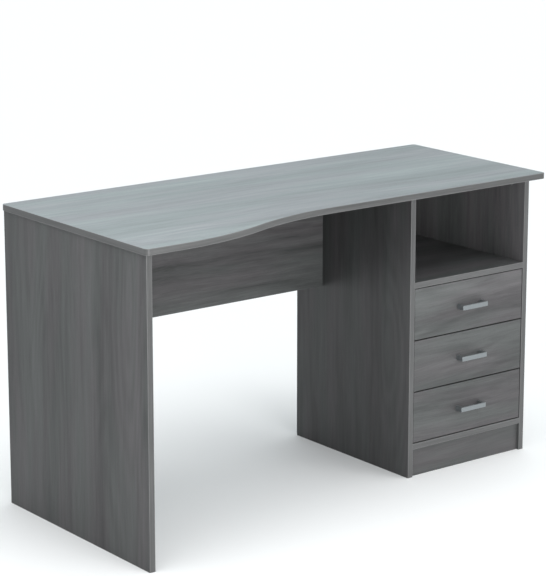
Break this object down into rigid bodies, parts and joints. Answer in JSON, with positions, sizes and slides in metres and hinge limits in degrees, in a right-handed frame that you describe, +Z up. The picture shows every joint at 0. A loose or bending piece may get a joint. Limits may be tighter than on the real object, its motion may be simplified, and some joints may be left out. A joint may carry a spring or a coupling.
{
  "type": "writing desk with drawers",
  "caption": "Writing desk with an S-curved desktop on a side panel and a pedestal of bar-handled drawers under an open compartment, in grey wood-grain laminate.",
  "frame": {"origin": "on the floor, under the centre of the desktop's bounding box", "axes": "+X to the user's right along the desk's length, +Y away from the user towards the back, +Z up"},
  "size_m": [1.302, 0.61, 0.75],
  "materials": {
    "desktop_laminate": "satin grey wood-grain laminate",
    "carcass_laminate": "satin grey wood-grain laminate, grain upright on the panels",
    "front_laminate": "satin grey wood-grain laminate, grain level",
    "edge_banding": "satin printed edge band",
    "box_laminate": "light grey melamine",
    "hardboard": "light grey lacquered hardboard",
    "handle_metal": "satin nickel",
    "runner_steel": "white powder coat",
    "roller_plastic": "natural nylon",
    "fixing_steel": "zinc plated",
    "zinc": "die-cast zinc",
    "beech": "plain beech"
  },
  "bodies": {
    "root": {"desktop": "desktop_laminate", "desktop_edge_band": "edge_banding", "left_side_panel": "carcass_laminate", "left_side_edge_band": "edge_banding", "pedestal_left_panel": "carcass_laminate", "pedestal_left_edge_band": "edge_banding", "pedestal_right_panel": "carcass_laminate", "pedestal_right_edge_band": "edge_banding", "modesty_panel": "carcass_laminate", "fixed_shelf": "carcass_laminate", "fixed_shelf_edge_band": "edge_banding", "bottom_shelf": "carcass_laminate", "bottom_shelf_edge_band": "edge_banding", "kick_board": "carcass_laminate", "pedestal_back_panel": "hardboard", "dowels": "beech", "cam_bolts": "zinc", "cam_locks": "zinc", "back_panel_nails": "fixing_steel", "runner_screws": "fixing_steel", "drawer_1_cabinet_runners": "runner_steel", "drawer_2_cabinet_runners": "runner_steel", "drawer_3_cabinet_runners": "runner_steel"},
    "drawer_1": {"drawer_1_front": "front_laminate", "drawer_1_left_side": "box_laminate", "drawer_1_right_side": "box_laminate", "drawer_1_back": "box_laminate", "drawer_1_bottom": "hardboard", "drawer_1_box_pegs": "beech", "drawer_1_handle": "handle_metal", "drawer_1_handle_screws": "fixing_steel", "drawer_1_slide_runners": "runner_steel", "drawer_1_runner_screws": "fixing_steel"},
    "drawer_2": {"drawer_2_front": "front_laminate", "drawer_2_left_side": "box_laminate", "drawer_2_right_side": "box_laminate", "drawer_2_back": "box_laminate", "drawer_2_bottom": "hardboard", "drawer_2_box_pegs": "beech", "drawer_2_handle": "handle_metal", "drawer_2_handle_screws": "fixing_steel", "drawer_2_slide_runners": "runner_steel", "drawer_2_runner_screws": "fixing_steel"},
    "drawer_3": {"drawer_3_front": "front_laminate", "drawer_3_left_side": "box_laminate", "drawer_3_right_side": "box_laminate", "drawer_3_back": "box_laminate", "drawer_3_bottom": "hardboard", "drawer_3_box_pegs": "beech", "drawer_3_handle": "handle_metal", "drawer_3_handle_screws": "fixing_steel", "drawer_3_slide_runners": "runner_steel", "drawer_3_runner_screws": "fixing_steel"},
    "drawer_1_front_wheels": {"drawer_1_front_rollers": "roller_plastic"},
    "drawer_1_rear_wheels": {"drawer_1_rear_rollers": "roller_plastic"},
    "drawer_2_front_wheels": {"drawer_2_front_rollers": "roller_plastic"},
    "drawer_2_rear_wheels": {"drawer_2_rear_rollers": "roller_plastic"},
    "drawer_3_front_wheels": {"drawer_3_front_rollers": "roller_plastic"},
    "drawer_3_rear_wheels": {"drawer_3_rear_rollers": "roller_plastic"}
  },
  "joints": [
    {"name": "drawer_1_slide", "type": "slide", "parent": "root", "child": "drawer_1", "axis": [0, -1, 0], "range_m": [0, 0.28]},
    {"name": "drawer_2_slide", "type": "slide", "parent": "root", "child": "drawer_2", "axis": [0, -1, 0], "range_m": [0, 0.28]},
    {"name": "drawer_3_slide", "type": "slide", "parent": "root", "child": "drawer_3", "axis": [0, -1, 0], "range_m": [0, 0.28]},
    {"name": "drawer_1_front_wheels_spin", "type": "hinge", "parent": "root", "child": "drawer_1_front_wheels", "pos_m": [0.446, -0.124, 0.38482], "axis": [1, 0, 0], "continuous": true},
    {"name": "drawer_1_rear_wheels_spin", "type": "hinge", "parent": "drawer_1", "child": "drawer_1_rear_wheels", "pos_m": [0.446, 0.25, 0.38287], "axis": [1, 0, 0], "continuous": true},
    {"name": "drawer_2_front_wheels_spin", "type": "hinge", "parent": "root", "child": "drawer_2_front_wheels", "pos_m": [0.446, -0.124, 0.25048], "axis": [1, 0, 0], "continuous": true},
    {"name": "drawer_2_rear_wheels_spin", "type": "hinge", "parent": "drawer_2", "child": "drawer_2_rear_wheels", "pos_m": [0.446, 0.25, 0.24853], "axis": [1, 0, 0], "continuous": true},
    {"name": "drawer_3_front_wheels_spin", "type": "hinge", "parent": "root", "child": "drawer_3_front_wheels", "pos_m": [0.446, -0.124, 0.11615], "axis": [1, 0, 0], "continuous": true},
    {"name": "drawer_3_rear_wheels_spin", "type": "hinge", "parent": "drawer_3", "child": "drawer_3_rear_wheels", "pos_m": [0.446, 0.25, 0.1142], "axis": [1, 0, 0], "continuous": true}
  ],
  "couplings": [
    {"joint": "drawer_1_front_wheels_spin", "follows": "drawer_1_slide", "rad_per_m": 111.11},
    {"joint": "drawer_1_rear_wheels_spin", "follows": "drawer_1_slide", "rad_per_m": 111.11},
    {"joint": "drawer_2_front_wheels_spin", "follows": "drawer_2_slide", "rad_per_m": 111.11},
    {"joint": "drawer_2_rear_wheels_spin", "follows": "drawer_2_slide", "rad_per_m": 111.11},
    {"joint": "drawer_3_front_wheels_spin", "follows": "drawer_3_slide", "rad_per_m": 111.11},
    {"joint": "drawer_3_rear_wheels_spin", "follows": "drawer_3_slide", "rad_per_m": 111.11}
  ]
}
